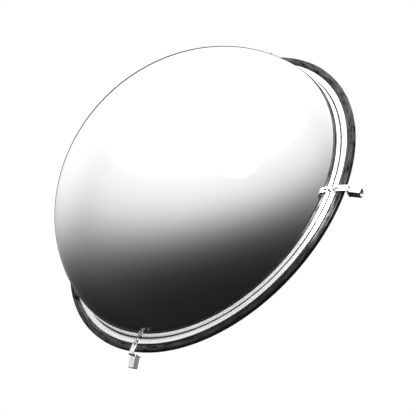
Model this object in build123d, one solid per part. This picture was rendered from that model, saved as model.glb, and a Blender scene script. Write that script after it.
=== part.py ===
from build123d import *
import math
import os

# Convex dome mirror for roads, held at its rim by four clips.
# Frame: the mirror faces -Y and +Z is up.  The origin is the centre of the rim, on the plane of
# the rim's back face.  Sections are drawn as (r, h): r is the distance from the mirror's axis
# and h is the height in front of the rim's back plane, so that y = -h.

# ---- driving dimensions, millimetres ----
RIM_R = 328.0              # outer radius of the rubber edge trim
TRIM_DEPTH = 8.4           # trim, front to back
TRIM_LIP_R = 313.4         # inner radius of the trim's front lip
TRIM_CREST_R = 318.5       # where the tapered front lip reaches its full height
TRIM_LIP_TIP = 7.1         # height of the front lip at its thin inner edge
TRIM_LIP_T = 1.6           # thickness of the lips
TRIM_CORNER = 1.5          # rounding of the trim's rear corner
TRIM_SHOULDER = 2.5        # rounding of its front corner
CHANNEL_R = 323.6          # bottom of the trim's channel

PLATE_T = 1.0              # back plate sheet
GASKET_T = 1.0             # sealing ring between dome lip and front ring
DOME_T = 2.0               # dome sheet
RING_T = 1.2               # front retaining ring
STACK_R = 323.2            # outer radius of the sheets held in the channel

DOME_A = 302.4             # dome's outer surface: radial semi-axis of the ellipse
DOME_C = 253.7             # axial semi-axis
DOME_CENTRE_H = -4.4       # height of the ellipse's centre
DOME_ROOT = 1.5            # forming radius between dome and lip, outside
RING_INNER_R = 303.8
GASKET_INNER_R = 303.7     # inner edge of the sealing ring's sheet
BEAD_R = (302.35, 303.75)  # its bead fills the gap between dome and front ring
BEAD_H = (5.7, 6.5)

RIB_RADII = (110.0, 205.0)   # stiffening ribs pressed into the back plate
RIB_HALF = 11.0              # half width of a rib at its foot
RIB_H = 4.0                  # rib height, pressed forward
DISH_R = 52.0                # round dish in the middle of the back plate
DRAIN_R = 4.0                # drain holes at the foot of the back plate
DRAIN_PLACES = ((-40.0, -276.0), (40.0, -276.0))

CLIP_ANGLES = {"right": 0.0, "top": 90.0, "left": 180.0, "bottom": 270.0}
SEAM_TURN = 45.0           # where the round pieces' seams lie, about the mirror's axis
NUT_TURNS = {"right": 0.0, "top": 0.0, "left": 0.0, "bottom": 45.0}    # where each nut rests
CLIP_SCREW_RHO = 307.3     # clip screws stand on this radius
SCREW_R = 2.0              # M4
SCREW_HEAD_R = 3.5
SCREW_HEAD_H = 2.4
SCREW_TAIL_H = -3.4        # the screw's end behind the rim's back plane
SCREW_HEAD_ROUND = 1.2
SCREW_POINT = 0.4          # chamfer at the screw's end
RECESS_L, RECESS_W, RECESS_DEPTH = 4.0, 1.0, 1.3    # cross recess in the screw heads
WASHER_T = 0.8
WASHER_R = 4.5
REAR_NUT_AF = 7.0
REAR_NUT_T = 3.2

STRAP_T = 1.5              # strap sheet
STRAP_W = 11.5
STRAP_LIFT = 0.2           # play under the strap
STRAP_END_RHO = 302.7      # rounded inner end of the strap
RAMP_FROM, RAMP_TO = 310.9, 316.5
STRAP_OUT_H = 8.9          # underside of the strap's outer part, above the trim
STRAP_BEND = 1.5           # inner bend radius at the rim
SLOT_W = 4.6
SLOT_FROM, SLOT_TO = 304.0, 319.0
TAB_TILT = 15.0            # the tab and its nut lean back by this angle
TAB_TAIL = 10.0            # tab below the swivel screw's axis
TAB_CORNER = 2.5

NUT_AF = 16.0              # coupling nut, M10
NUT_L = 20.0
NUT_CENTRE = (345.5, -5.0)   # (r, h) of the nut's middle
NUT_BORE_R = 4.25          # M10 tapping size
NUT_BORE_L = 12.0
NUT_CHAMFER = 1.1
NUT_MOUTH = 1.0            # chamfer at the mouth of the bore
PIVOT_R = 3.0              # swivel screw: plain shoulder in the tab
PIVOT_PLAY = 0.05          # radial clearance of the shoulder in the tab's hole
THREAD_R = 2.5             # swivel screw: M5 thread in the nut's inner end
THREAD_L = 8.0
PIVOT_HEAD_R = 4.5
PIVOT_HEAD_T = 2.0
SEAT_WASHER_T = 1.0
SEAT_WASHER_R = 7.5
AXIAL_PLAY = 0.15          # between the tab and the pieces that turn on it
THROUGH = (-10.0, 20.0)    # heights that pass right through the rim, for cutting

# ---- heights of the stack in the channel ----
PLATE_H = TRIM_LIP_T
LIP_H = PLATE_H + PLATE_T
GASKET_H = LIP_H + DOME_T
RING_H = GASKET_H + GASKET_T
RING_FACE_H = RING_H + RING_T


def flat(r, h):
    """A section point on the XY plane, where the mirror's axis is Y and its front is -Y."""
    return (r, -h)


def spin(section):
    """Turn a section about the mirror's axis as two halves, with the seams between the clips."""
    half = Rot(0, SEAM_TURN, 0) * revolve(section, axis=Axis.Y, revolution_arc=180)
    return half + Rot(0, 180, 0) * half


def ring(r_in, r_out, h_low, h_high):
    section = make_face(Polyline(flat(r_in, h_low), flat(r_out, h_low), flat(r_out, h_high),
                                 flat(r_in, h_high), close=True))
    return spin(section)


def rod(rho, radius, h_low, h_high, z=0.0):
    """A cylinder parallel to the mirror's axis."""
    base = Plane(origin=(rho, -h_low, z), x_dir=(1, 0, 0), z_dir=(0, -1, 0))
    return extrude(base * Circle(radius), amount=h_high - h_low)


def at_clips(shape):
    """Copies of a shape at all four clips, from the one drawn at the right clip (+X)."""
    return [Rot(0, -angle, 0) * shape for angle in CLIP_ANGLES.values()]


def screw_holes(radius):
    return at_clips(rod(CLIP_SCREW_RHO, radius, *THROUGH))


def ellipse_r(a, c, h):
    """Radius of an ellipse of revolution at height h."""
    return a * math.sqrt(1 - ((h - DOME_CENTRE_H) / c) ** 2)


def ellipse_arc(a, c, h_end):
    """The arc from the dome's apex down to height h_end."""
    end = math.degrees(math.asin((h_end - DOME_CENTRE_H) / c))
    return EllipticalCenterArc(flat(0, DOME_CENTRE_H), a, c, start_angle=-90, arc_size=90 - end)


def mirror_dome():
    """Thin dome with an outward lip, formed from one sheet."""
    inner_root = DOME_ROOT + DOME_T
    foot_out = GASKET_H + DOME_ROOT
    foot_in = LIP_H + inner_root
    r_out = ellipse_r(DOME_A, DOME_C, foot_out)
    r_in = ellipse_r(DOME_A - DOME_T, DOME_C - DOME_T, foot_in)
    outer = ellipse_arc(DOME_A, DOME_C, foot_out)
    inner = ellipse_arc(DOME_A - DOME_T, DOME_C - DOME_T, foot_in)
    lip = Polyline(flat(r_out + DOME_ROOT, GASKET_H), flat(STACK_R, GASKET_H), flat(STACK_R, LIP_H),
                   flat(r_in + inner_root, LIP_H))
    root_out = ThreePointArc(outer @ 1, root_point(r_out, foot_out, DOME_ROOT), lip @ 0)
    root_in = ThreePointArc(lip @ 1, root_point(r_in, foot_in, inner_root), inner @ 1)
    apex = Line(inner @ 0, outer @ 0)
    dome = spin(make_face([outer, root_out, *lip.edges(), root_in, inner, apex]))
    return dome - screw_holes(SCREW_R)


def root_point(r, h, radius):
    """Middle of the quarter arc between the dome's wall and its lip."""
    reach = radius * (1 - math.sqrt(0.5))
    return flat(r + reach, h - radius + reach)


def front_ring():
    return ring(RING_INNER_R, STACK_R, RING_H, RING_FACE_H) - screw_holes(SCREW_R)


def rim_gasket():
    """Sealing ring with a bead on its inner edge that closes the joint between dome and front ring."""
    low, high = BEAD_H
    inner, outer = BEAD_R
    sheet = [flat(GASKET_INNER_R, GASKET_H), flat(STACK_R, GASKET_H), flat(STACK_R, RING_H)]
    bead = [flat(outer, RING_H), flat(outer, high), flat(inner, high), flat(inner, low)]
    return spin(make_face(Polyline(*sheet, *bead, close=True))) - screw_holes(SCREW_R)


def edge_trim():
    """Rubber channel pressed over the stacked edges, with a tapered front lip."""
    mid = TRIM_CORNER * (1 - math.sqrt(0.5))
    front_mid = TRIM_SHOULDER * (1 - math.sqrt(0.5))
    back = Line(flat(TRIM_LIP_R, 0), flat(RIM_R - TRIM_CORNER, 0))
    back_corner = ThreePointArc(back @ 1, flat(RIM_R - mid, mid), flat(RIM_R, TRIM_CORNER))
    wall = Line(back_corner @ 1, flat(RIM_R, TRIM_DEPTH - TRIM_SHOULDER))
    front_corner = ThreePointArc(wall @ 1, flat(RIM_R - front_mid, TRIM_DEPTH - front_mid),
                                 flat(RIM_R - TRIM_SHOULDER, TRIM_DEPTH))
    inside = Polyline(front_corner @ 1, flat(TRIM_CREST_R, TRIM_DEPTH), flat(TRIM_LIP_R, TRIM_LIP_TIP),
                      flat(TRIM_LIP_R, RING_FACE_H), flat(CHANNEL_R, RING_FACE_H),
                      flat(CHANNEL_R, TRIM_LIP_T), flat(TRIM_LIP_R, TRIM_LIP_T), back @ 0)
    return spin(make_face([back, back_corner, wall, front_corner, *inside.edges()]))


def rib_points(radius):
    """Front edge of one pressed rib, from its outer foot to its inner foot."""
    top = RIB_HALF / 2
    return [(radius + RIB_HALF, 0), (radius + top, RIB_H), (radius - top, RIB_H), (radius - RIB_HALF, 0)]


def back_plate():
    """Pressed sheet disc with two ribs and a round dish, closing the dome's back."""
    steps = [(STACK_R, 0)]
    for radius in reversed(RIB_RADII):
        steps += rib_points(radius)
    steps += [(DISH_R, 0), (DISH_R - RIB_HALF / 2, RIB_H), (0, RIB_H)]
    rear = [flat(r, PLATE_H + rise) for r, rise in steps]
    front = [flat(r, PLATE_H + PLATE_T + rise) for r, rise in reversed(steps)]
    plate = spin(make_face(Polyline(*rear, *front, close=True)))
    drains = [rod(x, DRAIN_R, *THROUGH, z) for x, z in DRAIN_PLACES]
    return plate - screw_holes(SCREW_R) - drains


def clip_screw():
    """Pan head screw with a cross recess, holding a strap to the rim."""
    head_low = RING_FACE_H + STRAP_LIFT + STRAP_T + AXIAL_PLAY
    head = rod(CLIP_SCREW_RHO, SCREW_HEAD_R, head_low, head_low + SCREW_HEAD_H)
    head = fillet(head.edges().sort_by(Axis.Y)[0], SCREW_HEAD_ROUND)
    shank = rod(CLIP_SCREW_RHO, SCREW_R, SCREW_TAIL_H, head_low)
    shank = chamfer(shank.edges().sort_by(Axis.Y)[-1], SCREW_POINT)
    top = -(head_low + SCREW_HEAD_H)
    cut = 2 * RECESS_DEPTH
    cross = Box(RECESS_L, cut, RECESS_W) + Box(RECESS_W, cut, RECESS_L)
    return head + shank - Pos(CLIP_SCREW_RHO, top, 0) * cross


def rear_washer():
    washer = rod(CLIP_SCREW_RHO, WASHER_R, PLATE_H - WASHER_T, PLATE_H)
    return washer - rod(CLIP_SCREW_RHO, SCREW_R, *THROUGH)


def rear_nut():
    top = PLATE_H - WASHER_T
    base = Plane(origin=(CLIP_SCREW_RHO, -top, 0), x_dir=(1, 0, 0), z_dir=(0, 1, 0))
    hexagon = RegularPolygon(REAR_NUT_AF / 2, 6, major_radius=False)
    return extrude(base * hexagon, amount=REAR_NUT_T) - rod(CLIP_SCREW_RHO, SCREW_R, *THROUGH)


# ---- the swivel axis of a clip's nut, in the section at the right clip ----
OUT = (math.cos(math.radians(TAB_TILT)), -math.sin(math.radians(TAB_TILT)))    # (r, h), outwards
DOWN = (OUT[1], -OUT[0])                                                       # along the tab


def on_axis(distance, along_tab=0.0):
    """(r, h) of a point at a distance outwards from the nut's inner end."""
    r = NUT_CENTRE[0] + OUT[0] * (distance - NUT_L / 2) + DOWN[0] * along_tab
    h = NUT_CENTRE[1] + OUT[1] * (distance - NUT_L / 2) + DOWN[1] * along_tab
    return r, h


def axis_plane(distance):
    """A plane across the swivel axis, facing outwards."""
    r, h = on_axis(distance)
    return Plane(origin=(r, -h, 0), x_dir=(0, 0, 1), z_dir=(OUT[0], -OUT[1], 0))


TAB_INNER = -(SEAT_WASHER_T + AXIAL_PLAY + STRAP_T)


def clip_strap():
    """Bent sheet strap: flat on the ring, ramp over the trim, fold down into the nut's tab."""
    low = RING_FACE_H + STRAP_LIFT
    tab_r, tab_h = on_axis(TAB_INNER)
    fold_r = tab_r + (STRAP_OUT_H - tab_h) * math.tan(math.radians(TAB_TILT))
    tail = on_axis(TAB_INNER, TAB_TAIL)
    corners = [flat(STRAP_END_RHO, low), flat(RAMP_FROM, low), flat(RAMP_TO, STRAP_OUT_H),
               flat(fold_r, STRAP_OUT_H), flat(*tail)]
    path = FilletPolyline(*corners, radius=STRAP_BEND)
    section = make_face(path.wire().offset_2d(STRAP_T, side=Side.RIGHT))
    strap = extrude(section, amount=STRAP_W / 2, both=True)
    across_tab = Axis((0, 0, 0), (OUT[0], -OUT[1], 0))
    strap = fillet(strap.edges().filter_by(across_tab), TAB_CORNER)
    return strap & rounded_end() - strap_slot() - tab_hole()


def front_slot(r_from, r_to, width, h_low, h_high):
    """A solid with an oblong outline seen from the front, from one radius to another."""
    base = Plane(origin=((r_from + r_to) / 2, -h_low, 0), x_dir=(1, 0, 0), z_dir=(0, -1, 0))
    return extrude(base * SlotOverall(r_to - r_from, width), amount=h_high - h_low)


def rounded_end():
    """Keeps all of the strap but the corners of its inner end."""
    beyond = NUT_CENTRE[0] + NUT_L
    return front_slot(STRAP_END_RHO, beyond, STRAP_W, -beyond, beyond)


def strap_slot():
    return front_slot(SLOT_FROM, SLOT_TO, SLOT_W, RING_FACE_H, STRAP_OUT_H + 2 * STRAP_T)


def tab_hole():
    hole = axis_plane(TAB_INNER - STRAP_T) * Circle(PIVOT_R + PIVOT_PLAY)
    return extrude(hole, amount=3 * STRAP_T)


def coupling_nut(turned):
    """Long hexagonal nut with chamfered ends, M10 at its open end and M5 at its inner end."""
    hexagon = Rot(0, 0, turned) * RegularPolygon(NUT_AF / 2, 6, major_radius=False)
    body = extrude(axis_plane(0) * hexagon, amount=NUT_L)
    body = body & nut_chamfers()
    bore = extrude(axis_plane(NUT_L - NUT_BORE_L) * Circle(NUT_BORE_R), amount=NUT_BORE_L)
    inner = extrude(axis_plane(0) * Circle(THREAD_R), amount=NUT_L - NUT_BORE_L)
    mouth = Pos(0, 0, NUT_MOUTH / 2) * Cone(NUT_BORE_R, NUT_BORE_R + NUT_MOUTH, NUT_MOUTH)
    return body - bore - inner - axis_plane(NUT_L - NUT_MOUTH) * mouth


def nut_chamfers():
    """A turned blank that rounds off the hexagon's corners at both ends."""
    corner = NUT_AF / math.sqrt(3) + 0.2
    length = NUT_L / 2
    cone_l = NUT_CHAMFER
    profile = Polyline((0, -length), (corner - 2 * cone_l, -length), (corner, -length + cone_l),
                       (corner, length - cone_l), (corner - 2 * cone_l, length), (0, length), close=True)
    blank = revolve(Plane.XZ * make_face(profile), axis=Axis.Z, revolution_arc=360)
    return axis_plane(length).location * blank


def swivel_screw():
    """Shoulder screw that holds the nut to the tab and lets it turn."""
    shoulder = STRAP_T + 2 * AXIAL_PLAY + SEAT_WASHER_T
    head = extrude(axis_plane(-shoulder - PIVOT_HEAD_T) * Circle(PIVOT_HEAD_R), amount=PIVOT_HEAD_T)
    shank = extrude(axis_plane(-shoulder) * Circle(PIVOT_R), amount=shoulder)
    thread = extrude(axis_plane(0) * Circle(THREAD_R), amount=THREAD_L)
    return head + shank + thread


def seat_washer():
    plane = axis_plane(-SEAT_WASHER_T)
    return extrude(plane * (Circle(SEAT_WASHER_R) - Circle(PIVOT_R)), amount=SEAT_WASHER_T)


def save(node, shape):
    export_step(shape, f"parts/{node}.step")


os.makedirs("parts", exist_ok=True)

save("mirror_dome", mirror_dome())
save("front_ring", front_ring())
save("rim_gasket", rim_gasket())
save("edge_trim", edge_trim())
save("back_plate", back_plate())
save("clip_screws", Compound(at_clips(clip_screw())))
save("rear_washers", Compound(at_clips(rear_washer())))
save("rear_nuts", Compound(at_clips(rear_nut())))

for side, angle in CLIP_ANGLES.items():
    turn = Rot(0, -angle, 0)
    save(f"clip_strap_{side}", turn * clip_strap())
    save(f"coupling_nut_{side}", turn * coupling_nut(NUT_TURNS[side]))
    save(f"swivel_screw_{side}", turn * swivel_screw())
    save(f"seat_washer_{side}", turn * seat_washer())
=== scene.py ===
import math

import bmesh
import bpy
from mathutils import Matrix, Vector


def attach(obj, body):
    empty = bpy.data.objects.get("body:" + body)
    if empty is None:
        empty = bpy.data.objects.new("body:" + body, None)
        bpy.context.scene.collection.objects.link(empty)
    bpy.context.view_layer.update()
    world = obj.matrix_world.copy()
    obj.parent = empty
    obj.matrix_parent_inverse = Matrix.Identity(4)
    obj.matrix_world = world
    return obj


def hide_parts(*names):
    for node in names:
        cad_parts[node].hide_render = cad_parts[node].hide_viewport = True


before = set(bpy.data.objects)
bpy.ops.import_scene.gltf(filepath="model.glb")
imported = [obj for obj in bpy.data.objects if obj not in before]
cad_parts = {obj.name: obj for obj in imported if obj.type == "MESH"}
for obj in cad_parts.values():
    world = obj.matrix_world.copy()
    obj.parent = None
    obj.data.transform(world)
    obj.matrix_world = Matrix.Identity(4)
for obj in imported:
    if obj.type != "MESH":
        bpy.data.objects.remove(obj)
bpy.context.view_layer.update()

# The mirror faces -Y and +Z is up.  Sections are (r, h) in millimetres: r from the mirror's axis,
# h in front of the rim's back plane, so that y = -h.  MM turns them into metres.
MM = 0.001
TAU = 2 * math.pi

# ---- driving dimensions, millimetres, the same as the CAD model's ----
RIM_R = 328.0
TRIM_DEPTH, TRIM_CORNER, TRIM_SHOULDER, TRIM_LIP_T = 8.4, 1.5, 2.5, 1.6
TRIM_LIP_R, TRIM_LIP_TIP, TRIM_CREST_R, CHANNEL_R = 313.4, 7.1, 318.5, 323.6
STACK_R = 323.2
PLATE_H, PLATE_T = 1.6, 1.0
LIP_H, GASKET_H, RING_H, RING_FACE_H = 2.6, 4.6, 5.6, 6.8
GASKET_INNER_R, BEAD_R, BEAD_H = 303.7, (302.35, 303.75), (5.7, 6.5)
RING_INNER_R = 303.8
DOME_A, DOME_C, DOME_CENTRE_H, DOME_T, DOME_ROOT = 302.4, 253.7, -4.4, 2.0, 1.5
RIB_RADII, RIB_HALF, RIB_H, DISH_R = (110.0, 205.0), 11.0, 4.0, 52.0
DRAIN_R, DRAIN_PLACES = 4.0, ((-40.0, -276.0), (40.0, -276.0))
CLIP_SCREW_RHO, SCREW_R, SCREW_HEAD_R, SCREW_HEAD_H, SCREW_TAIL_H = 307.3, 2.0, 3.5, 2.4, -3.4
WASHER_T, WASHER_R, REAR_NUT_AF, REAR_NUT_T = 0.8, 4.5, 7.0, 3.2
STRAP_T, STRAP_W, STRAP_LIFT, STRAP_END_RHO = 1.5, 11.5, 0.2, 302.7
RAMP_FROM, RAMP_TO, STRAP_OUT_H, STRAP_BEND = 310.9, 316.5, 8.9, 1.5
SLOT_W, SLOT_FROM, SLOT_TO = 4.6, 304.0, 319.0
TAB_TILT, TAB_TAIL, TAB_CORNER = 15.0, 10.0, 2.5
NUT_AF, NUT_L, NUT_CENTRE = 16.0, 20.0, (345.5, -5.0)
NUT_BORE_R, NUT_BORE_L = 4.25, 12.0
NUT_TURNS = {"right": 0.0, "top": 0.0, "left": 0.0, "bottom": 45.0}
PIVOT_R, THREAD_R, THREAD_L, PIVOT_HEAD_R, PIVOT_HEAD_T = 3.0, 2.5, 8.0, 4.5, 2.0
SEAT_WASHER_T, SEAT_WASHER_R, AXIAL_PLAY = 1.0, 7.5, 0.15

# ---- details that only the looks need, millimetres ----
THROUGH = (-10.0, 20.0)               # along a hole's cutter, past both faces
HEAD_SIDE_H = 0.9                     # straight side of a pan head, below its crown
RECESS_L, RECESS_W, RECESS_DEEP = 4.0, 1.0, 2.6
RECESS_TAPER = (0.9, 0.45)            # how far a recess arm narrows across and along
HEX_FACE = 0.9                        # end face of a chamfered nut, as a share of its flats
NUT_PITCH, NUT_THREAD_DEEP = 1.5, 0.6

CLIPS = {"right": 0.0, "top": 90.0, "left": 180.0, "bottom": 270.0}
ROUND_SEGMENTS = 480


# ======================= camera, light and stage =======================

CAMERA_AZIMUTH, CAMERA_ELEVATION, CAMERA_ROLL = 48.63, -23.79, 23.16
CAMERA_DISTANCE, CAMERA_LENS = 1.880, 85.96
CAMERA_AIM = Vector((0.0060, 0.0169, -0.0153))


def add_camera():
    """The camera looks up at the mirror from its right, rolled to the photograph's framing."""
    a, e = math.radians(CAMERA_AZIMUTH), math.radians(CAMERA_ELEVATION)
    back = Vector((math.sin(a) * math.cos(e), -math.cos(a) * math.cos(e), math.sin(e)))
    data = bpy.data.cameras.new("camera")
    data.lens, data.sensor_width = CAMERA_LENS, 36.0
    data.clip_start, data.clip_end = 0.05, 60.0
    camera = bpy.data.objects.new("camera", data)
    bpy.context.scene.collection.objects.link(camera)
    level = (-back).to_track_quat("-Z", "Y").to_matrix().to_4x4()
    roll = Matrix.Rotation(math.radians(CAMERA_ROLL), 4, "Z")
    camera.matrix_world = Matrix.Translation(CAMERA_AIM + back * CAMERA_DISTANCE) @ level @ roll
    bpy.context.scene.camera = camera


SKY_AXIS = Vector((0.0, -0.686, 0.728))
BACKDROP = 1.0                        # what the camera sees behind the mirror
GROUND_TONE, SKY_TONE = 0.135, 0.93   # display tone of the ground, and how much the sky adds
HORIZON_SLOPE, HORIZON_SHIFT = 4.6, 0.12
HIGH_LIGHT, HIGH_FROM, HIGH_TO = 2.0, 0.55, 0.95   # extra light high up along the sky axis
BEHIND_AXIS, BEHIND_FROM, BEHIND_TO = Vector((-0.687, 0.605, 0.403)), 0.09, 0.97
BEHIND_SLOPE, BEHIND_LIFT = 1.75, 0.40   # behind the mirror the horizon is sharper
LAMP_AXIS, LAMP_CONE = Vector((0.60, -0.74, 0.30)), (10.0, 18.0)   # lamp in front, to the right; degrees
LAMP_LIGHT = 18.0
FLAG_AXIS, FLAG_CONE = Vector((-0.715, 0.520, 0.467)), (14.0, 16.5)   # dark flag behind; degrees
FLAG_DARK = 0.02                      # share of the light that the flag lets past
DISPLAY_POWER = 2.2                   # from a display tone to light


def math_node(tree, operation, *values):
    """A math node whose inputs are numbers or the outputs of other nodes."""
    node = tree.nodes.new("ShaderNodeMath")
    node.operation = operation
    for socket, value in zip(node.inputs, values):
        if isinstance(value, (int, float)):
            socket.default_value = value
        else:
            tree.links.new(value, socket)
    return node.outputs[0]


def map_range(tree, value, low, high, to_low=0.0, to_high=1.0, kind="SMOOTHSTEP"):
    node = tree.nodes.new("ShaderNodeMapRange")
    node.interpolation_type = kind
    tree.links.new(value, node.inputs["Value"])
    for name, number in (("From Min", low), ("From Max", high), ("To Min", to_low), ("To Max", to_high)):
        node.inputs[name].default_value = number
    return node.outputs["Result"]


def dot_with(tree, vector, axis):
    node = tree.nodes.new("ShaderNodeVectorMath")
    node.operation = "DOT_PRODUCT"
    tree.links.new(vector, node.inputs[0])
    node.inputs[1].default_value = axis
    return node.outputs["Value"]


def cone(tree, direction, axis, degrees, inside, outside):
    """One value near an axis, another further off, and a soft change between the two angles in degrees."""
    near = dot_with(tree, direction, axis.normalized())
    high, low = (math.cos(math.radians(angle)) for angle in degrees)
    return map_range(tree, near, low, high, outside, inside)


def build_world():
    """Bright sky above and in front, dark ground below, and a plain white backdrop for the camera."""
    world = bpy.data.worlds.new("studio")
    bpy.context.scene.world = world
    world.use_nodes = True
    tree = world.node_tree
    tree.nodes.clear()
    add, link = tree.nodes.new, tree.links.new
    direction = add("ShaderNodeTexCoord").outputs["Generated"]
    height = dot_with(tree, direction, SKY_AXIS)
    behind = map_range(tree, dot_with(tree, direction, BEHIND_AXIS), BEHIND_FROM, BEHIND_TO, kind="LINEAR")
    steeper = math_node(tree, "MULTIPLY_ADD", height, BEHIND_SLOPE, BEHIND_LIFT)
    bent = math_node(tree, "MULTIPLY_ADD", math_node(tree, "MULTIPLY", behind, behind), steeper, height)
    slope = math_node(tree, "MULTIPLY_ADD", bent, -HORIZON_SLOPE, -HORIZON_SHIFT)
    falling = math_node(tree, "EXPONENT", slope)
    share = math_node(tree, "DIVIDE", SKY_TONE, math_node(tree, "ADD", falling, 1.0))
    light = math_node(tree, "POWER", math_node(tree, "ADD", share, GROUND_TONE), DISPLAY_POWER)
    light = math_node(tree, "ADD", light, map_range(tree, height, HIGH_FROM, HIGH_TO, 0.0, HIGH_LIGHT))
    light = math_node(tree, "ADD", light, cone(tree, direction, LAMP_AXIS, LAMP_CONE, LAMP_LIGHT, 0.0))
    flag = cone(tree, direction, FLAG_AXIS, FLAG_CONE, FLAG_DARK, 1.0)
    sky = add("ShaderNodeBackground")
    link(math_node(tree, "MULTIPLY", light, flag), sky.inputs["Color"])
    plain = add("ShaderNodeBackground")
    plain.inputs["Color"].default_value = (BACKDROP, BACKDROP, BACKDROP, 1)
    mix = add("ShaderNodeMixShader")
    link(add("ShaderNodeLightPath").outputs["Is Camera Ray"], mix.inputs["Fac"])
    link(sky.outputs[0], mix.inputs[1])
    link(plain.outputs[0], mix.inputs[2])
    link(mix.outputs[0], add("ShaderNodeOutputWorld").inputs["Surface"])


def add_area_light(name, position, size, power):
    """A soft square light that faces the mirror."""
    data = bpy.data.lights.new(name, "AREA")
    data.shape, data.size, data.energy = "SQUARE", size, power
    light = bpy.data.objects.new(name, data)
    light.location = position
    light.rotation_euler = (-Vector(position)).to_track_quat("-Z", "Y").to_euler()
    light.visible_glossy = False
    bpy.context.scene.collection.objects.link(light)


FLOOR_Z, FLOOR_HALF = -1.0, 25.0      # metres
FLOOR_GREY = 0.8
BACK_LIGHTS = {"back_right": ((1.4, 2.2, 0.9), 1.6, 70), "back_low": ((0.6, 2.0, -0.7), 1.2, 25)}


def build_stage():
    """Pale floor below the mirror, and soft lights behind it."""
    mesh = bpy.data.meshes.new("floor")
    corners = [(-1, -1), (1, -1), (1, 1), (-1, 1)]
    mesh.from_pydata([(x * FLOOR_HALF, y * FLOOR_HALF, FLOOR_Z) for x, y in corners], [], [(0, 1, 2, 3)])
    floor = link_object("floor", mesh)
    material, _, shader = new_material("floor_paint", Roughness=0.8)
    shader.inputs["Base Color"].default_value = (FLOOR_GREY, FLOOR_GREY, FLOOR_GREY, 1)
    dress(floor, material)
    floor.visible_glossy = False
    for name, (position, size, power) in BACK_LIGHTS.items():
        add_area_light(name, position, size, power)


# ======================= meshes =======================

def link_object(name, mesh):
    piece = bpy.data.objects.new(name, mesh)
    bpy.context.scene.collection.objects.link(piece)
    return piece


def smooth(mesh, angle=32.0):
    mesh.shade_smooth()
    mesh.set_sharp_from_angle(angle=math.radians(angle))


def arc_corner(before, corner, after, radius, steps=5):
    """Points of the arc that rounds a corner of a section."""
    p, a, b = Vector(corner), Vector(before), Vector(after)
    u, v = (a - p).normalized(), (b - p).normalized()
    half = u.angle(v) / 2
    if radius <= 0 or half > math.radians(89):
        return [p]
    reach = radius / math.tan(half)
    centre = p + (u + v).normalized() * (radius / math.sin(half))
    start, end = p + u * reach - centre, p + v * reach - centre
    swing = start.angle_signed(end)
    return [centre + Matrix.Rotation(-swing * k / steps, 2) @ start for k in range(steps + 1)]


def rounded(corners, closed=True, steps=5):
    """A section with rounded corners from (r, h, radius) corners."""
    points = []
    for i, (r, h, radius) in enumerate(corners):
        if not closed and i in (0, len(corners) - 1):
            points.append(Vector((r, h)))
            continue
        before, after = corners[i - 1][:2], corners[(i + 1) % len(corners)][:2]
        points += arc_corner(before, (r, h), after, radius, steps)
    return points


def sweep_rings(name, rings, closed):
    """A mesh through rings of points with the same count; closed joins the last ring to the first."""
    mesh = bpy.data.meshes.new(name)
    count = len(rings[0])
    verts = [p for ring in rings for p in ring]
    faces = []
    for i in range(len(rings) if closed else len(rings) - 1):
        j = (i + 1) % len(rings)
        for k in range(count):
            m = (k + 1) % count
            faces.append((i * count + k, i * count + m, j * count + m, j * count + k))
    if not closed:
        faces += [tuple(range(count)), tuple((len(rings) - 1) * count + k for k in reversed(range(count)))]
    mesh.from_pydata(verts, [], faces)
    tidy(mesh)
    return mesh


def tidy(mesh, merge=1e-7):
    """Merges doubled points and turns all faces outwards."""
    work = bmesh.new()
    work.from_mesh(mesh)
    bmesh.ops.remove_doubles(work, verts=work.verts, dist=merge)
    bmesh.ops.recalc_face_normals(work, faces=work.faces)
    work.to_mesh(mesh)
    work.free()


def round_body(name, section, angle=32.0):
    """Turns a closed (r, h) section about the mirror's axis."""
    turns = [TAU * k / ROUND_SEGMENTS for k in range(ROUND_SEGMENTS)]
    rings = [[Vector((r * math.cos(t), -h, r * math.sin(t))) * MM for t in turns] for r, h in section]
    mesh = sweep_rings(name, rings, closed=True)
    smooth(mesh, angle)
    return mesh


def clip_turn(angle):
    """Turns a shape drawn at the right clip to another clip."""
    return Matrix.Rotation(-math.radians(angle), 4, "Y")


def turned(mesh, name, matrix):
    copy = mesh.copy()
    copy.name = name
    copy.transform(matrix)
    return copy


def at_every_clip(name, mesh):
    """One mesh out of four copies of a mesh drawn at the right clip."""
    work = bmesh.new()
    for angle in CLIPS.values():
        work.from_mesh(turned(mesh, "copy", clip_turn(angle)))
    out = bpy.data.meshes.new(name)
    work.to_mesh(out)
    work.free()
    return out


def evaluated(piece):
    """The piece's mesh with its modifiers applied; the piece itself is removed."""
    mesh = bpy.data.meshes.new_from_object(piece.evaluated_get(bpy.context.evaluated_depsgraph_get()))
    bpy.data.objects.remove(piece)
    return mesh


def cut(mesh, tools):
    """mesh with the tool meshes taken away."""
    piece = link_object("cut_body", mesh)
    helpers = []
    for tool in tools:
        helper = link_object("cut_tool", tool)
        helpers.append(helper)
        boolean = piece.modifiers.new("cut", "BOOLEAN")
        boolean.object, boolean.operation, boolean.solver = helper, "DIFFERENCE", "EXACT"
    bpy.context.view_layer.update()
    result = evaluated(piece)
    for helper in helpers:
        bpy.data.objects.remove(helper)
    return result


def lathe(name, stations, segments, place, closed=False):
    """A solid about an axis, from (axial, radius) in mm. A radius may be a function of the angle."""
    rings = []
    for axial, radius in stations:
        ring = []
        for k in range(segments):
            t = TAU * k / segments
            r = radius(t) if callable(radius) else radius
            ring.append(place @ (Vector((r * math.cos(t), r * math.sin(t), axial)) * MM))
        rings.append(ring)
    return sweep_rings(name, rings, closed)


def front_axis(rho, z=0.0):
    """Local +Z along the mirror's front direction, at radius rho."""
    return Matrix(((1, 0, 0, rho * MM), (0, 0, -1, 0), (0, 1, 0, z * MM), (0, 0, 0, 1)))


OUT = (math.cos(math.radians(TAB_TILT)), -math.sin(math.radians(TAB_TILT)))
DOWN = (OUT[1], -OUT[0])


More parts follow.
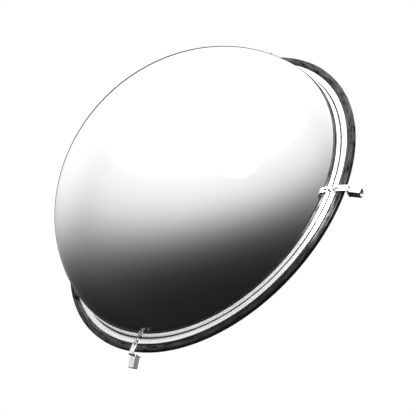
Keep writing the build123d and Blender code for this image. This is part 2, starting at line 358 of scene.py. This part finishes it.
def on_axis(distance, along_tab=0.0):
    """(r, h) at a distance outwards from the nut's inner end."""
    return tuple(NUT_CENTRE[i] + OUT[i] * (distance - NUT_L / 2) + DOWN[i] * along_tab for i in (0, 1))


def swivel_axis():
    """Local +Z along the nut's axis, outwards, with the origin at the nut's inner end."""
    r, h = on_axis(0)
    z = Vector((OUT[0], -OUT[1], 0))
    x = Vector((0, 0, 1))
    y = z.cross(x)
    place = Matrix((x, y, z)).transposed().to_4x4()
    place.translation = Vector((r, -h, 0)) * MM
    return place


# ======================= the mirror's own pieces =======================

def dome_section():
    """Outer ellipse, forming radius, lip, and the inner side back to the apex."""
    def ellipse(a, c, foot_h, steps):
        end = math.acos((foot_h - DOME_CENTRE_H) / c)
        return [(a * math.sin(end * k / steps), DOME_CENTRE_H + c * math.cos(end * k / steps))
                for k in range(steps + 1)]

    def quarter(r, h, radius, steps=6):
        return [(r + radius - radius * math.cos(t), h - radius * math.sin(t))
                for t in (math.pi / 2 * k / steps for k in range(1, steps + 1))]

    inner_root = DOME_ROOT + DOME_T
    outer = ellipse(DOME_A, DOME_C, GASKET_H + DOME_ROOT, 150)
    inner = ellipse(DOME_A - DOME_T, DOME_C - DOME_T, LIP_H + inner_root, 60)
    root_out = quarter(*outer[-1], DOME_ROOT)
    root_in = quarter(*inner[-1], inner_root)
    return outer + root_out + [(STACK_R, GASKET_H), (STACK_R, LIP_H)] + root_in[::-1] + inner[::-1]


def build_dome():
    return round_body("dome_mirror", dome_section(), angle=45)


def build_ring():
    corners = [(RING_INNER_R, RING_H, 0.2), (STACK_R, RING_H, 0.1), (STACK_R, RING_FACE_H, 0.1),
               (RING_INNER_R, RING_FACE_H, 0.5)]
    return round_body("rim_ring", rounded(corners))


def build_gasket():
    low, high = BEAD_H
    inner, outer = BEAD_R
    corners = [(GASKET_INNER_R, GASKET_H, 0), (STACK_R, GASKET_H, 0), (STACK_R, RING_H, 0),
               (outer, RING_H, 0), (outer, high, 0.3), (inner, high, 0.3), (inner, low, 0)]
    return round_body("rim_seal", rounded(corners))


def build_trim():
    corners = [(TRIM_LIP_R, 0, 0.5), (RIM_R, 0, TRIM_CORNER), (RIM_R, TRIM_DEPTH, TRIM_SHOULDER),
               (TRIM_CREST_R, TRIM_DEPTH, 6.0), (TRIM_LIP_R, TRIM_LIP_TIP, 0.15),
               (TRIM_LIP_R, RING_FACE_H, 0), (CHANNEL_R, RING_FACE_H, 0.2), (CHANNEL_R, TRIM_LIP_T, 0.2),
               (TRIM_LIP_R, TRIM_LIP_T, 0.3)]
    return round_body("rim_trim", rounded(corners, steps=8))


def build_plate():
    """Pressed back plate with rounded ribs, screw holes and drain holes."""
    steps = [(STACK_R, 0, 0)]
    for radius in reversed(RIB_RADII):
        steps += [(radius + RIB_HALF, 0, 3), (radius + RIB_HALF / 2, RIB_H, 3),
                  (radius - RIB_HALF / 2, RIB_H, 3), (radius - RIB_HALF, 0, 3)]
    steps += [(DISH_R, 0, 3), (DISH_R - RIB_HALF / 2, RIB_H, 3), (0, RIB_H, 0)]
    line = rounded(steps, closed=False)
    rear = [(r, PLATE_H + rise) for r, rise in line]
    front = [(r, PLATE_H + PLATE_T + rise) for r, rise in reversed(line)]
    mesh = round_body("back_sheet", rear + front)
    holes = [turned(hole(SCREW_R, CLIP_SCREW_RHO), "hole", clip_turn(angle)) for angle in CLIPS.values()]
    holes += [hole(DRAIN_R, x, z) for x, z in DRAIN_PLACES]
    mesh = cut(mesh, holes)
    smooth(mesh)
    return mesh


def hole(radius, x, z=0.0):
    """A rod along the mirror's axis that cuts right through the plate."""
    return lathe("hole", [(axial, radius) for axial in THROUGH], 32, front_axis(x, z))


def build_screws():
    """Pan head screws with a cross recess, and their tails behind the plate."""
    low = RING_FACE_H + STRAP_LIFT + STRAP_T + AXIAL_PLAY
    high = low + SCREW_HEAD_H
    side, crown, shrink = low + HEAD_SIDE_H, SCREW_HEAD_H - HEAD_SIDE_H, 1.7
    stations = [(SCREW_TAIL_H, 0), (SCREW_TAIL_H, SCREW_R - 0.5), (SCREW_TAIL_H + 0.4, SCREW_R),
                (low, SCREW_R), (low, SCREW_HEAD_R - 0.15), (low + 0.15, SCREW_HEAD_R), (side, SCREW_HEAD_R)]
    for t in (math.pi / 2 * k / 8 for k in range(1, 9)):
        stations.append((side + crown * math.sin(t), SCREW_HEAD_R - shrink * (1 - math.cos(t))))
    stations.append((high, 0))
    screw = lathe("screw", stations, 48, front_axis(CLIP_SCREW_RHO))
    screw = cut(screw, [recess_arm(high, RECESS_L, RECESS_W), recess_arm(high, RECESS_W, RECESS_L)])
    mesh = at_every_clip("clip_screw_heads", screw)
    smooth(mesh, 40)
    return mesh


def recess_arm(top, size_x, size_z):
    """One arm of a screw's cross recess, narrower at its bottom end."""
    arm = bpy.data.meshes.new("arm")
    work = bmesh.new()
    bmesh.ops.create_cube(work, size=MM)
    bottom = [v for v in work.verts if v.co.y > 0]
    work.transform(Matrix.Diagonal((size_x, RECESS_DEEP, size_z, 1)))
    for v in bottom:
        v.co.x *= RECESS_TAPER[size_x > size_z]
        v.co.z *= RECESS_TAPER[size_z > size_x]
    work.transform(Matrix.Translation(Vector((CLIP_SCREW_RHO, -top, 0)) * MM))
    work.to_mesh(arm)
    work.free()
    return arm


def hex_radius(across_flats, limit, turn):
    """Radius of a hexagon with slightly rounded corners, never more than limit."""
    corner = across_flats / math.sqrt(3) - 0.25

    def radius(t):
        flat = across_flats / 2 / math.cos(((t - turn) % (TAU / 6)) - TAU / 12)
        return min(flat, corner, limit)
    return radius


def hex_stations(across_flats, low, high, turn=0.0, rows=8):
    """Stations of a hexagonal body with turned chamfers, from low to high."""
    corner, face = across_flats / math.sqrt(3), HEX_FACE * across_flats / 2
    rise = corner - face
    up = [(low + rise / 2 * k / rows, hex_radius(across_flats, face + rise * k / rows, turn))
          for k in range(rows + 1)]
    down = [(high - (axial - low), radius) for axial, radius in reversed(up)]
    return up + down


def threaded(nominal, depth, pitch, low, high, rows_per_turn=8):
    """Stations of a threaded hole's wall: the radius follows a helix."""
    rows = int((high - low) / pitch * rows_per_turn)

    def ring(axial):
        def radius(t):
            phase = (axial / pitch - t / TAU) % 1.0
            return nominal + depth * (1 - abs(2 * phase - 1))
        return radius
    return [(low + (high - low) * k / rows, ring(low + (high - low) * k / rows)) for k in range(rows + 1)]


def build_nut(turn):
    """Coupling nut with a threaded bore, drawn about the swivel axis."""
    outer = hex_stations(NUT_AF, 0, NUT_L, math.radians(turn))
    floor, thread_top = NUT_L - NUT_BORE_L, NUT_L - 0.9
    mouth = [(NUT_L, NUT_BORE_R + 1.1), (thread_top, NUT_BORE_R + 0.45)]
    wall = threaded(NUT_BORE_R, NUT_THREAD_DEEP, NUT_PITCH, floor + NUT_PITCH, thread_top)[::-1]
    foot = [(floor, NUT_BORE_R), (floor, THREAD_R), (0.4, THREAD_R), (0, THREAD_R + 0.4)]
    mesh = lathe("nut", outer + mouth + wall + foot, 120, swivel_axis(), closed=True)
    smooth(mesh, 25)
    return mesh


def build_swivel_screw():
    shoulder = STRAP_T + 2 * AXIAL_PLAY + SEAT_WASHER_T
    head = -shoulder - PIVOT_HEAD_T
    stations = [(head, 0), (head, PIVOT_HEAD_R - 1.0), (head + 0.3, PIVOT_HEAD_R - 0.3),
                (head + 0.8, PIVOT_HEAD_R), (-shoulder - 0.1, PIVOT_HEAD_R),
                (-shoulder, PIVOT_HEAD_R - 0.1), (-shoulder, PIVOT_R), (0, PIVOT_R), (0, THREAD_R),
                (THREAD_L - 0.4, THREAD_R), (THREAD_L, THREAD_R - 0.5), (THREAD_L, 0)]
    mesh = lathe("swivel", stations, 48, swivel_axis())
    smooth(mesh, 40)
    return mesh


def build_seat_washer():
    low, high, edge = -SEAT_WASHER_T, 0, 0.2
    stations = [(low, PIVOT_R), (low, SEAT_WASHER_R - edge), (low + edge, SEAT_WASHER_R),
                (high - edge, SEAT_WASHER_R), (high, SEAT_WASHER_R - edge), (high, PIVOT_R)]
    mesh = lathe("seat", stations, 64, swivel_axis(), closed=True)
    smooth(mesh, 30)
    return mesh


def build_rear_nuts():
    top = PLATE_H - WASHER_T
    stations = hex_stations(REAR_NUT_AF, top - REAR_NUT_T, top)
    stations += [(top, SCREW_R + 0.2), (top - 0.2, SCREW_R), (top - REAR_NUT_T + 0.3, SCREW_R),
                 (top - REAR_NUT_T, SCREW_R + 0.3)]
    nut = lathe("rear_nut", stations, 96, front_axis(CLIP_SCREW_RHO), closed=True)
    mesh = at_every_clip("rear_hex_nuts", nut)
    smooth(mesh, 25)
    return mesh


def build_rear_washers():
    low, edge = PLATE_H - WASHER_T, 0.15
    stations = [(low, SCREW_R), (low, WASHER_R - edge), (low + edge, WASHER_R), (PLATE_H, WASHER_R),
                (PLATE_H, SCREW_R)]
    washer = lathe("washer", stations, 48, front_axis(CLIP_SCREW_RHO), closed=True)
    mesh = at_every_clip("rear_flat_washers", washer)
    smooth(mesh, 30)
    return mesh


# ======================= clip strap =======================

def strap_path():
    """Underside of the strap in section, from its inner end to the tab's tail, with rounded bends."""
    low = RING_FACE_H + STRAP_LIFT
    tab_at = -(SEAT_WASHER_T + AXIAL_PLAY + STRAP_T)
    tab_r, tab_h = on_axis(tab_at)
    fold_r = tab_r + (STRAP_OUT_H - tab_h) * math.tan(math.radians(TAB_TILT))
    tail = on_axis(tab_at, TAB_TAIL)
    corners = [(STRAP_END_RHO, low, 0), (RAMP_FROM, low, STRAP_BEND), (RAMP_TO, STRAP_OUT_H, STRAP_BEND),
               (fold_r, STRAP_OUT_H, STRAP_BEND), (*tail, 0)]
    return rounded(corners, closed=False, steps=8)


def resample(path, step):
    """Even stations along the path, as (distance, point), with every bend point kept."""
    out, run = [], 0.0
    for a, b in zip(path, path[1:]):
        length = (b - a).length
        parts = max(1, round(length / step))
        out += [(run + length * k / parts, a.lerp(b, k / parts)) for k in range(parts)]
        run += length
    return out + [(run, path[-1])]


def side_of(path_points, i):
    """Unit normal of the path on its outer side."""
    a, b = path_points[max(0, i - 1)], path_points[min(len(path_points) - 1, i + 1)]
    along = (b - a).normalized()
    return Vector((-along.y, along.x))


def build_strap():
    """Bent sheet with a rounded inner end, an oblong hole and rounded edges."""
    stations = resample(strap_path(), 0.7)
    half, slot_half = STRAP_W / 2, SLOT_W / 2
    points = [p for _, p in stations]
    total = stations[-1][0]
    across = 5

    def outline(distance):
        inner = max(0.0, half - distance)
        width = math.sqrt(max(0.0, half * half - inner * inner))
        tail = max(0.0, distance - (total - TAB_CORNER)) / TAB_CORNER
        return max(0.05, width) - TAB_CORNER * (1 - math.sqrt(max(0.0, 1 - tail * tail)))

    def slot(point):
        middle = min(max(point.x, SLOT_FROM + slot_half), SLOT_TO - slot_half)
        gap = abs(point.x - middle)
        if gap >= slot_half or point.y < RING_FACE_H:
            return 0.0
        return math.sqrt(slot_half ** 2 - gap ** 2)

    work = bmesh.new()
    rows = []
    for i, (distance, p) in enumerate(stations):
        normal = side_of(points, i)
        row = {}
        for side in (-1, 1):
            for k in range(across + 1):
                t = side * (slot(p) + (outline(distance) - slot(p)) * k / across)
                for level in (0, 1):
                    q = p + normal * STRAP_T * level
                    row[side, k, level] = work.verts.new(Vector((q.x, -q.y, t)) * MM)
        rows.append((slot(p) > 0, row))
    for (open_a, a), (open_b, b) in zip(rows, rows[1:]):
        for side in (-1, 1):
            for level in (0, 1):
                for k in range(across):
                    work.faces.new((a[side, k, level], a[side, k + 1, level],
                                    b[side, k + 1, level], b[side, k, level]))
            work.faces.new((a[side, across, 0], a[side, across, 1], b[side, across, 1], b[side, across, 0]))
            if open_a or open_b:
                work.faces.new((a[side, 0, 0], a[side, 0, 1], b[side, 0, 1], b[side, 0, 0]))
    for _, row in (rows[0], rows[-1]):
        for side in (-1, 1):
            for k in range(across):
                work.faces.new((row[side, k, 0], row[side, k + 1, 0], row[side, k + 1, 1], row[side, k, 1]))
    mesh = bpy.data.meshes.new("strap")
    work.to_mesh(mesh)
    work.free()
    tidy(mesh, 2e-6)
    piece = link_object("strap", mesh)
    bevel = piece.modifiers.new("edge", "BEVEL")
    bevel.width, bevel.segments, bevel.limit_method = 0.25 * MM, 2, "ANGLE"
    bevel.angle_limit = math.radians(50)
    mesh = evaluated(piece)
    smooth(mesh, 40)
    return mesh


# ======================= materials =======================

def new_material(name, **values):
    material = bpy.data.materials.new(name)
    material.use_nodes = True
    shader = material.node_tree.nodes["Principled BSDF"]
    for socket, value in values.items():
        shader.inputs[socket.replace("_", " ")].default_value = value
    return material, material.node_tree, shader


def noise(tree, vector, scale, detail=3.0, roughness=0.5):
    node = tree.nodes.new("ShaderNodeTexNoise")
    node.inputs["Scale"].default_value = scale
    node.inputs["Detail"].default_value = detail
    node.inputs["Roughness"].default_value = roughness
    tree.links.new(vector, node.inputs["Vector"])
    return node.outputs["Fac"]


def object_point(tree):
    return tree.nodes.new("ShaderNodeTexCoord").outputs["Object"]


def along_rim(tree, across, around):
    """Coordinates across the rim and around it, so that noise on them makes streaks along the rim."""
    split = tree.nodes.new("ShaderNodeSeparateXYZ")
    tree.links.new(object_point(tree), split.inputs[0])
    x, y, z = split.outputs
    square = math_node(tree, "ADD", math_node(tree, "MULTIPLY", x, x), math_node(tree, "MULTIPLY", z, z))
    radius = math_node(tree, "SQRT", square)
    join = tree.nodes.new("ShaderNodeCombineXYZ")
    tree.links.new(math_node(tree, "MULTIPLY", radius, across), join.inputs[0])
    tree.links.new(math_node(tree, "MULTIPLY", x, around), join.inputs[1])
    tree.links.new(math_node(tree, "MULTIPLY", z, around), join.inputs[2])
    return join.outputs[0]


def bump(tree, shader, height, distance, strength):
    node = tree.nodes.new("ShaderNodeBump")
    node.inputs["Distance"].default_value = distance
    node.inputs["Strength"].default_value = strength
    tree.links.new(height, node.inputs["Height"])
    tree.links.new(node.outputs[0], shader.inputs["Normal"])


def grey_from(tree, shader, value, low, high):
    """Base colour between two greys."""
    ramp = map_range(tree, value, 0.3, 0.7, low, high, "LINEAR")
    tree.links.new(ramp, shader.inputs["Base Color"])


def roughness_from(tree, shader, value, low, high):
    tree.links.new(map_range(tree, value, 0.3, 0.7, low, high, "LINEAR"), shader.inputs["Roughness"])


def mirror_material():
    """Polished metal with a trace of haze."""
    material, tree, shader = new_material("mirror_face", Metallic=1.0)
    point = object_point(tree)
    roughness_from(tree, shader, noise(tree, point, 5.0), 0.015, 0.035)
    grey_from(tree, shader, noise(tree, point, 9.0), 0.93, 0.95)
    return material


def ring_material():
    """Satin sheet metal brushed along the rim."""
    material, tree, shader = new_material("ring_steel", Metallic=0.45)
    broad = noise(tree, along_rim(tree, 160.0, 3.0), 1.0, 4.0)
    fine = noise(tree, along_rim(tree, 1500.0, 12.0), 1.0, 3.0)
    both = math_node(tree, "MULTIPLY_ADD", fine, 0.5, math_node(tree, "MULTIPLY", broad, 0.5))
    grey_from(tree, shader, broad, 0.42, 0.70)
    roughness_from(tree, shader, both, 0.14, 0.28)
    bump(tree, shader, both, 0.0004, 0.35)
    return material


def plated_material(name, dark, pale, smoothest, roughest):
    """Plated or stainless metal: mottled, lightly scuffed, with softened reflections."""
    material, tree, shader = new_material(name, Metallic=1.0)
    point = object_point(tree)
    grey_from(tree, shader, noise(tree, point, 330.0, 4.0, 0.6), dark, pale)
    roughness_from(tree, shader, noise(tree, point, 700.0), smoothest, roughest)
    bump(tree, shader, noise(tree, point, 900.0, 2.0), 0.00006, 0.5)
    return material


def trim_material():
    """Extruded black rubber with a fine grain, faint lengthwise streaks, a half gloss and scuffs."""
    material, tree, shader = new_material("trim_rubber", IOR=1.42)
    grain = noise(tree, object_point(tree), 1100.0, 2.0)
    streaks = noise(tree, along_rim(tree, 420.0, 2.5), 1.0, 3.0)
    grey_from(tree, shader, streaks, 0.002, 0.006)
    scuffs = noise(tree, along_rim(tree, 300.0, 45.0), 1.0, 5.0, 0.65)
    gloss = map_range(tree, scuffs, 0.38, 0.70, 0.0, 0.85, "LINEAR")
    tree.links.new(gloss, shader.inputs["Specular IOR Level"])
    roughness_from(tree, shader, streaks, 0.10, 0.24)
    bump(tree, shader, math_node(tree, "MULTIPLY_ADD", grain, 0.4, streaks), 0.0002, 0.6)
    return material


def back_paint():
    """Satin powder coat with a fine orange peel and a little dust."""
    material, tree, shader = new_material("back_coat")
    point = object_point(tree)
    grey_from(tree, shader, noise(tree, point, 14.0, 6.0, 0.6), 0.30, 0.38)
    roughness_from(tree, shader, noise(tree, point, 40.0), 0.38, 0.52)
    bump(tree, shader, noise(tree, point, 650.0, 2.0), 0.00012, 0.4)
    return material


def foam_material():
    material, tree, shader = new_material("gasket_foam", Roughness=0.85)
    point = object_point(tree)
    grey_from(tree, shader, noise(tree, point, 900.0), 0.015, 0.035)
    bump(tree, shader, noise(tree, point, 1500.0, 2.0), 0.0003, 0.6)
    return material


def dress(piece, material):
    piece.data.materials.clear()
    piece.data.materials.append(material)


def place(name, mesh, body, slot, material, node):
    """Adds a finished piece that rides a body and stands for one CAD node."""
    piece = link_object(name, mesh)
    dress(piece, material)
    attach(piece, body)
    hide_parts(node)


def build_all():
    screw_steel = plated_material("screw_steel", 0.38, 0.62, 0.20, 0.32)
    strap_zinc = plated_material("strap_zinc", 0.48, 0.86, 0.14, 0.26)
    nut_zinc = plated_material("nut_zinc", 0.50, 0.90, 0.12, 0.24)
    place("dome", build_dome(), "mirror", "mirror_face", mirror_material(), "mirror_dome")
    place("ring", build_ring(), "mirror", "ring_steel", ring_material(), "front_ring")
    place("trim", build_trim(), "mirror", "trim_rubber", trim_material(), "edge_trim")
    place("back", build_plate(), "mirror", "back_steel", back_paint(), "back_plate")
    place("screws", build_screws(), "mirror", "screw_steel", screw_steel, "clip_screws")
    place("hexes", build_rear_nuts(), "mirror", "screw_steel", screw_steel, "rear_nuts")
    place("washers", build_rear_washers(), "mirror", "screw_steel", screw_steel, "rear_washers")
    place("gasket", build_gasket(), "mirror", "gasket_foam", foam_material(), "rim_gasket")
    strap, swivel, seat = build_strap(), build_swivel_screw(), build_seat_washer()
    for side, angle in CLIPS.items():
        nut = build_nut(NUT_TURNS[side])
        for name, mesh, body, slot, material, node in (
                ("strap", strap, "clip", "strap_steel", strap_zinc, "clip_strap"),
                ("nut", nut, "nut", "nut_steel", nut_zinc, "coupling_nut"),
                ("swivel", swivel, "nut", "screw_steel", screw_steel, "swivel_screw"),
                ("seat", seat, "nut", "screw_steel", screw_steel, "seat_washer")):
            copy = turned(mesh, name, clip_turn(angle))
            place(f"{name}_{side}", copy, f"{body}_{side}", slot, material, f"{node}_{side}")


bpy.context.scene.view_settings.view_transform = "Standard"
add_camera()
build_world()
build_stage()
build_all()
